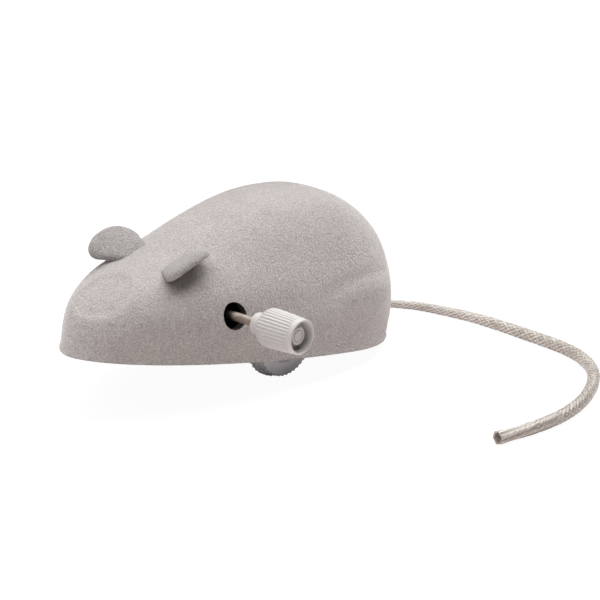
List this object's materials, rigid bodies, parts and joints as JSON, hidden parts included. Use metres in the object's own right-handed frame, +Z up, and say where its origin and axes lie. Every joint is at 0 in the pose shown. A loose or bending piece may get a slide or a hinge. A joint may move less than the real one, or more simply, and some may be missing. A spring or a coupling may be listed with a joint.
{
  "type": "clockwork mouse",
  "caption": "Wind-up toy mouse: flocked shell, felt-like ears, side winding knob, geared spring motor, drive wheels and a cord tail.",
  "frame": {"origin": "bottom centre of the toy without its tail, on the floor that its drive wheels and rear rim stand on", "axes": "+X from the nose towards the tail, +Z up, -Y towards the side with the winding knob; the body leans back 9.3 degrees as it stands"},
  "size_m": [0.0869, 0.0823, 0.0309],
  "materials": {
    "flock": "flocked",
    "ear_flock": "flocked",
    "base_plastic": "moulded",
    "case_plastic": "moulded",
    "steel": "satin",
    "brass": "satin",
    "nylon": "moulded",
    "knob_plastic": "moulded",
    "wheel_plastic": "moulded",
    "tyre_rubber": "matt",
    "cord": "satin woven"
  },
  "bodies": {
    "body": {"body_shell": "flock", "ear_left": "ear_flock", "ear_right": "ear_flock", "base_plate": "base_plastic", "base_screw_1": "steel", "base_screw_2": "steel", "base_screw_3": "steel", "motor_screw_1": "steel", "motor_screw_2": "steel", "case_screw_1": "steel", "case_screw_2": "steel", "motor_case_left": "case_plastic", "motor_case_right": "case_plastic", "mainspring": "steel", "tail": "cord", "tail_knot": "cord"},
    "winder": {"winding_shaft": "steel", "winding_knob": "knob_plastic", "main_gear": "brass"},
    "second": {"second_gear": "nylon"},
    "third": {"third_gear": "nylon"},
    "drive": {"drive_axle": "steel", "axle_pinion": "brass", "wheel_left": "wheel_plastic", "wheel_right": "wheel_plastic", "tyre_left": "tyre_rubber", "tyre_right": "tyre_rubber"}
  },
  "joints": [
    {"name": "winding_turn", "type": "hinge", "parent": "body", "child": "winder", "pos_m": [-0.01275, 0.00556, 0.01659], "axis": [0, -1, 0], "range_deg": [0, 1890]},
    {"name": "second_gear_turn", "type": "hinge", "parent": "body", "child": "second", "pos_m": [-0.00525, 0.00556, 0.01669], "axis": [0, -1, 0], "range_deg": [-5197.5, 0]},
    {"name": "third_gear_turn", "type": "hinge", "parent": "body", "child": "third", "pos_m": [-0.00027, 0.00556, 0.01333], "axis": [0, -1, 0], "range_deg": [0, 10395]},
    {"name": "axle_turn", "type": "hinge", "parent": "body", "child": "drive", "pos_m": [0.00376, 0.00556, 0.00761], "axis": [0, -1, 0], "range_deg": [-25987.5, 0]}
  ],
  "couplings": [
    {"joint": "second_gear_turn", "follows": "winding_turn", "ratio": -2.75},
    {"joint": "third_gear_turn", "follows": "winding_turn", "ratio": 5.5},
    {"joint": "axle_turn", "follows": "winding_turn", "ratio": -13.75}
  ]
}
